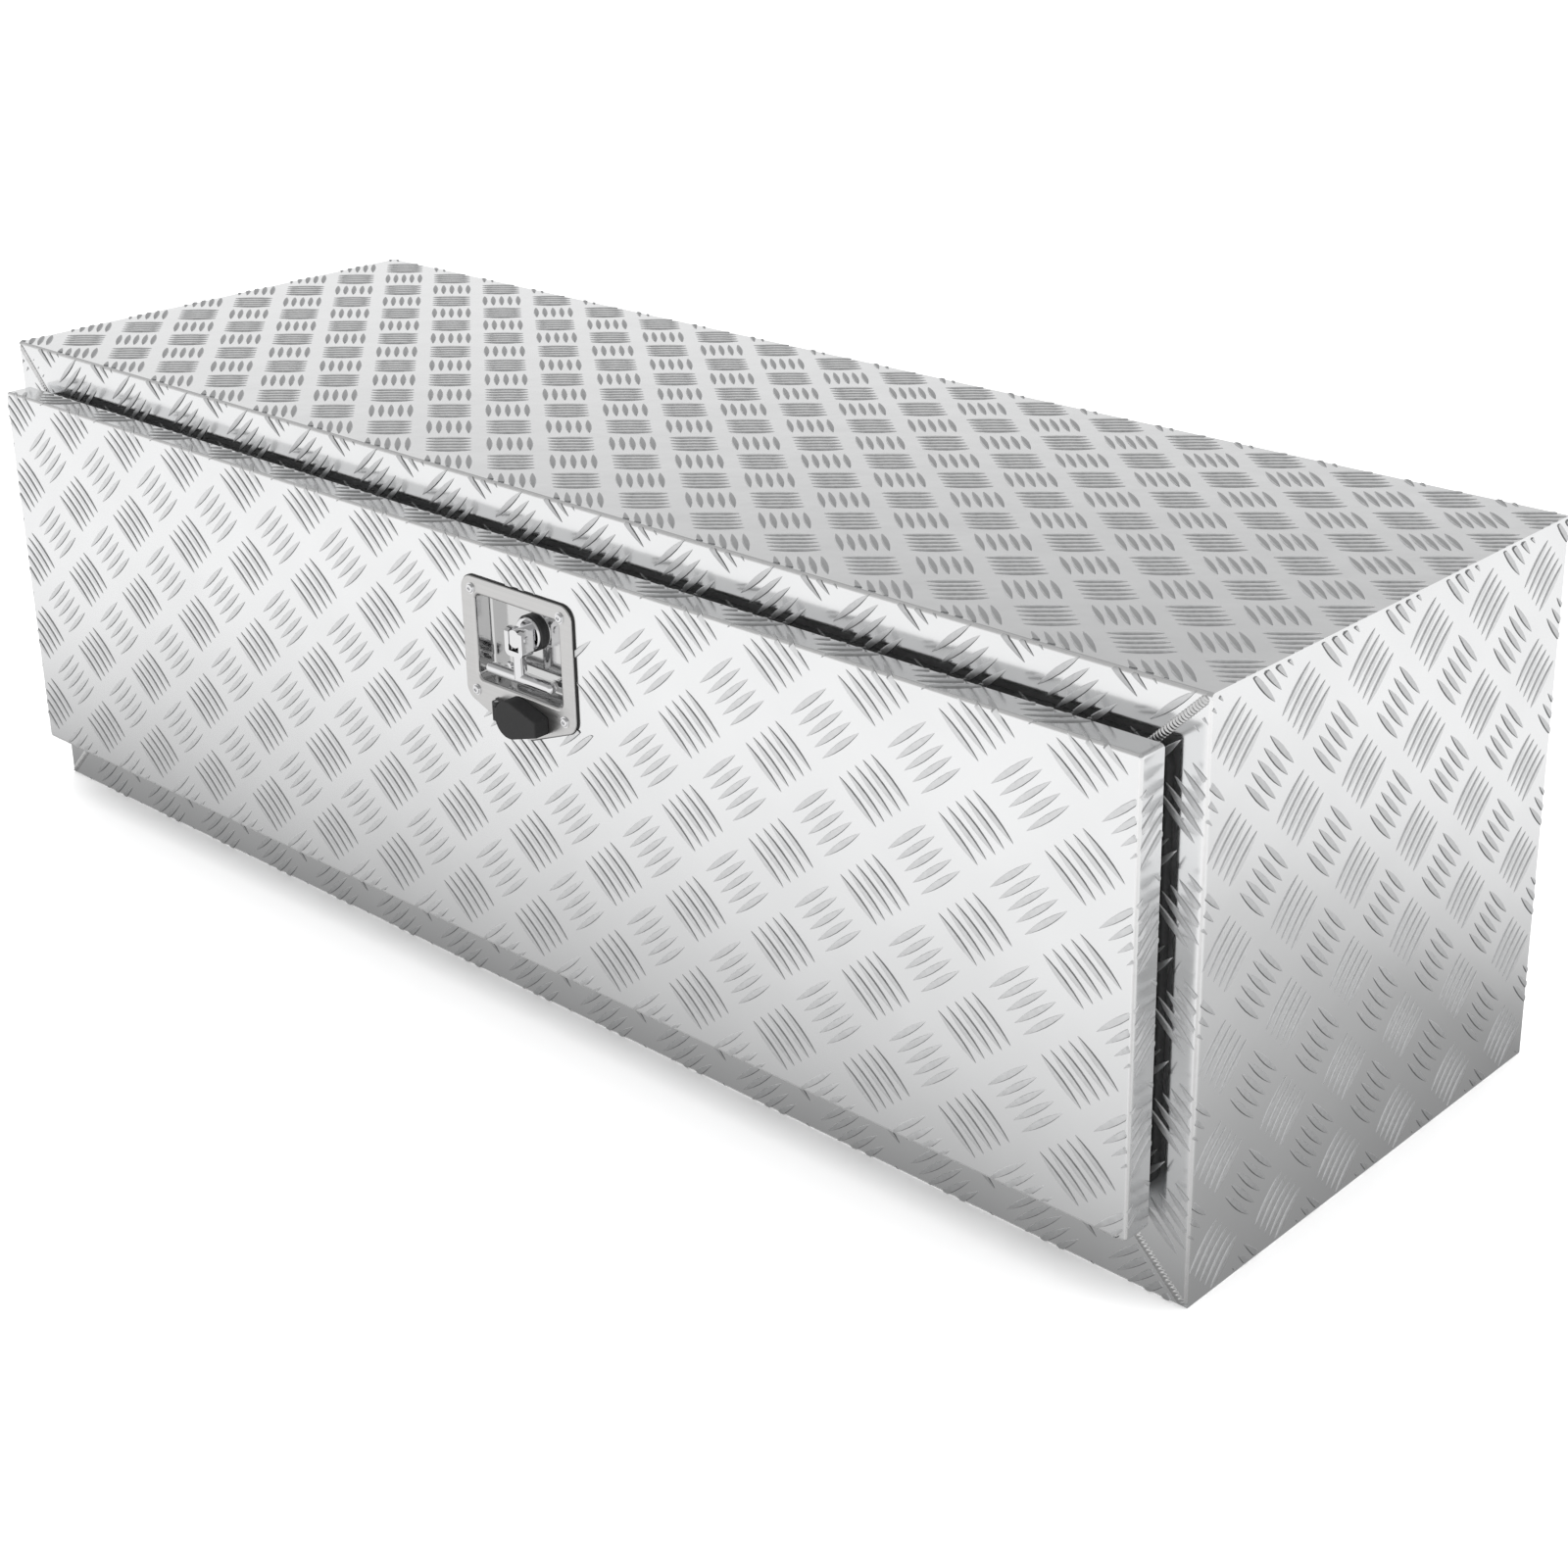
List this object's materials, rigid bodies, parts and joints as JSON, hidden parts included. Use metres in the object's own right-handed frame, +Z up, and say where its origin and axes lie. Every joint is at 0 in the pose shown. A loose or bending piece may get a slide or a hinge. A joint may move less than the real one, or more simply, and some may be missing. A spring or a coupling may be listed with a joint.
{
  "type": "truck tool box",
  "caption": "Long, low underbody truck tool box in tread plate, with a drop-down front door on a piano hinge and a recessed folding T-handle latch.",
  "frame": {"origin": "centre of the bottom face of the case, on the surface it stands on", "axes": "+X to the right along the door, +Y to the back, +Z up"},
  "size_m": [1.219, 0.452, 0.4],
  "materials": {
    "tread_plate": "bright rolled five-bar tread plate",
    "door_tread_plate": "bright rolled five-bar tread plate",
    "plain_aluminium": "mill finish",
    "weld_bead": "rippled weld",
    "brushed_stainless": "brushed stainless",
    "polished_chrome": "polished",
    "zinc_steel": "bright zinc plate",
    "black_plastic": "satin black",
    "cap_rubber": "matt moulded rubber",
    "seal_rubber": "foam rubber"
  },
  "bodies": {
    "case": {"top_panel": "tread_plate", "bottom_panel": "tread_plate", "back_panel": "tread_plate", "left_end_panel": "tread_plate", "right_end_panel": "tread_plate", "corner_welds": "weld_bead", "seam_welds": "weld_bead", "hinge_body_leaf": "zinc_steel", "hinge_body_rivets": "plain_aluminium", "hinge_pin": "zinc_steel", "left_stay_anchor": "zinc_steel", "right_stay_anchor": "zinc_steel", "left_stay_stud": "zinc_steel", "right_stay_stud": "zinc_steel", "anchor_rivets": "plain_aluminium"},
    "door": {"door_skin": "door_tread_plate", "door_inner_panel": "plain_aluminium", "door_seal": "seal_rubber", "hinge_door_leaf": "zinc_steel", "hinge_door_rivets": "plain_aluminium", "left_stay_bracket": "zinc_steel", "right_stay_bracket": "zinc_steel", "bracket_rivets": "plain_aluminium", "left_stay_pivot": "zinc_steel", "right_stay_pivot": "zinc_steel", "lock_dish": "brushed_stainless", "lock_gasket": "seal_rubber", "lock_screws": "polished_chrome", "lock_nuts": "zinc_steel", "dish_rivets": "polished_chrome", "lock_housing": "black_plastic", "housing_nut": "zinc_steel", "key_housing": "polished_chrome", "key_nut": "zinc_steel", "cap_bracket": "black_plastic", "cap_pin": "zinc_steel"},
    "left_stay": {"left_stay_bar": "zinc_steel"},
    "right_stay": {"right_stay_bar": "zinc_steel"},
    "lock_shaft": {"lock_shaft": "polished_chrome", "shaft_clip": "zinc_steel", "lock_cam": "zinc_steel", "cam_washer": "zinc_steel", "cam_nut": "zinc_steel"},
    "handle": {"t_handle": "polished_chrome", "handle_pin": "polished_chrome"},
    "key_plug": {"key_plug": "polished_chrome", "key_lever": "zinc_steel", "lever_screw": "zinc_steel"},
    "dust_cap": {"dust_cap": "cap_rubber"}
  },
  "joints": [
    {"name": "door_hinge", "type": "hinge", "parent": "case", "child": "door", "pos_m": [0, -0.2075, 0.048], "axis": [1, 0, 0], "range_deg": [0, 90]},
    {"name": "left_stay_pivot", "type": "hinge", "parent": "door", "child": "left_stay", "pos_m": [-0.556, -0.195, 0.248], "axis": [1, 0, 0], "range_deg": [-45, 0]},
    {"name": "right_stay_pivot", "type": "hinge", "parent": "door", "child": "right_stay", "pos_m": [0.556, -0.195, 0.248], "axis": [1, 0, 0], "range_deg": [-45, 0]},
    {"name": "lock_turn", "type": "hinge", "parent": "door", "child": "lock_shaft", "pos_m": [0.064, -0.2345, 0.307], "axis": [0, 1, 0], "range_deg": [0, 90]},
    {"name": "handle_fold", "type": "hinge", "parent": "lock_shaft", "child": "handle", "pos_m": [0.064, -0.2345, 0.307], "axis": [-1, 0, 0], "range_deg": [0, 90]},
    {"name": "key_turn", "type": "hinge", "parent": "door", "child": "key_plug", "pos_m": [0.064, -0.2415, 0.2495], "axis": [0, -1, 0], "range_deg": [0, 90]},
    {"name": "cap_swing", "type": "hinge", "parent": "door", "child": "dust_cap", "pos_m": [0.044, -0.2415, 0.2495], "axis": [0, 0, -1], "range_deg": [0, 110]}
  ],
  "couplings": [
    {"joint": "left_stay_pivot", "follows": "door_hinge", "ratio": -0.5},
    {"joint": "right_stay_pivot", "follows": "door_hinge", "ratio": -0.5},
    {"joint": "handle_fold", "follows": "lock_turn", "ratio": 1}
  ]
}
